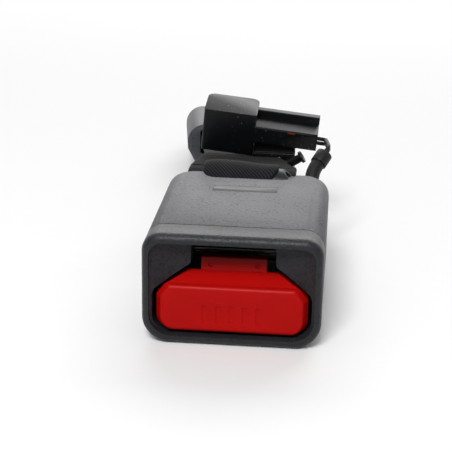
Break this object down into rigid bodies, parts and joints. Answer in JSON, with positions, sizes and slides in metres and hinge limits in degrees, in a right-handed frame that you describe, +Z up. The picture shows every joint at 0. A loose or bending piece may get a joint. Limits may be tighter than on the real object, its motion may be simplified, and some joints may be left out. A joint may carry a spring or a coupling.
{
  "type": "seat belt buckle",
  "caption": "Seat belt buckle with a red release button and hidden sprung latch, on folded webbing with a floor anchor plate and a clipped-on switch connector.",
  "frame": {"origin": "middle of the housing's flat underside, where the buckle rests", "axes": "+Z up away from the rest face, +Y from the release button back to the anchor, +X to the right of the button"},
  "size_m": [0.0705, 0.2579, 0.0527],
  "materials": {
    "housing_plastic": "fine-grained moulded dark grey",
    "bezel_plastic": "fine-grained moulded charcoal",
    "button_plastic": "smooth moulded red",
    "frame_steel": "zinc plated pressed steel",
    "anchor_steel": "zinc plated pressed steel",
    "spring_steel": "drawn spring wire",
    "guide_plastic": "smooth moulded acetal",
    "magnet_metal": "nickel plated magnet",
    "sleeve_plastic": "smooth grey-blue moulding",
    "webbing": "woven polyester twill",
    "cover_plastic": "satin moulded grey",
    "connector_plastic": "satin moulded black",
    "lock_plastic": "moulded orange",
    "terminal_brass": "tinned brass blades",
    "harness_vinyl": "black vinyl",
    "grommet_rubber": "moulded rubber"
  },
  "bodies": {
    "root": {"housing_upper": "housing_plastic", "housing_lower": "housing_plastic", "front_bezel": "bezel_plastic", "base_frame": "frame_steel", "tongue_guide": "guide_plastic", "latch_pin": "frame_steel", "latch_spring": "spring_steel", "ejector_spring": "spring_steel", "button_springs": "spring_steel", "switch_body": "connector_plastic", "switch_rivets": "frame_steel", "loop_sleeve": "sleeve_plastic", "webbing_fold": "webbing", "webbing_front": "webbing", "connector_shell": "connector_plastic", "connector_lock": "lock_plastic", "connector_terminals": "terminal_brass", "connector_clamp": "connector_plastic", "push_clip": "connector_plastic", "harness_sleeve": "harness_vinyl", "harness_tape": "harness_vinyl", "harness_wires": "harness_vinyl", "harness_grommet": "grommet_rubber"},
    "button": {"release_button": "button_plastic"},
    "lock": {"lock_bar": "frame_steel"},
    "ejector": {"ejector": "guide_plastic", "ejector_magnet": "magnet_metal"},
    "latch": {"latch_plate": "frame_steel"},
    "strap": {"webbing_rear": "webbing"},
    "anchor": {"anchor_plate": "anchor_steel", "anchor_cover": "cover_plastic"}
  },
  "joints": [
    {"name": "button_slide", "type": "slide", "parent": "root", "child": "button", "axis": [0, 1, 0], "range_m": [0, 0.005], "stiffness_N_per_m": 600, "springref_m": -0.008, "deforming": ["button_springs"]},
    {"name": "lock_slide", "type": "slide", "parent": "root", "child": "lock", "axis": [0, 1, 0], "range_m": [0, 0.005]},
    {"name": "ejector_slide", "type": "slide", "parent": "root", "child": "ejector", "axis": [0, 1, 0], "range_m": [0, 0.009], "stiffness_N_per_m": 350, "springref_m": -0.012, "deforming": ["ejector_spring"]},
    {"name": "latch_pivot", "type": "hinge", "parent": "root", "child": "latch", "pos_m": [0, 0.014, 0.0238], "axis": [-1, 0, 0], "range_deg": [0, 10.6], "deforming": ["latch_spring"]},
    {"name": "webbing_flex", "type": "hinge", "parent": "root", "child": "strap", "pos_m": [-0.0082, 0.092, 0.0262], "axis": [0.9903, 0.1392, 0], "range_deg": [-20, 35]},
    {"name": "anchor_swivel", "type": "hinge", "parent": "strap", "child": "anchor", "pos_m": [-0.01794, 0.16132, 0.015], "axis": [0.9903, 0.1392, 0], "range_deg": [-12, 12]}
  ],
  "couplings": [
    {"joint": "lock_slide", "follows": "button_slide", "ratio": 1},
    {"joint": "latch_pivot", "follows": "ejector_slide", "rad_per_m": 20.362}
  ]
}
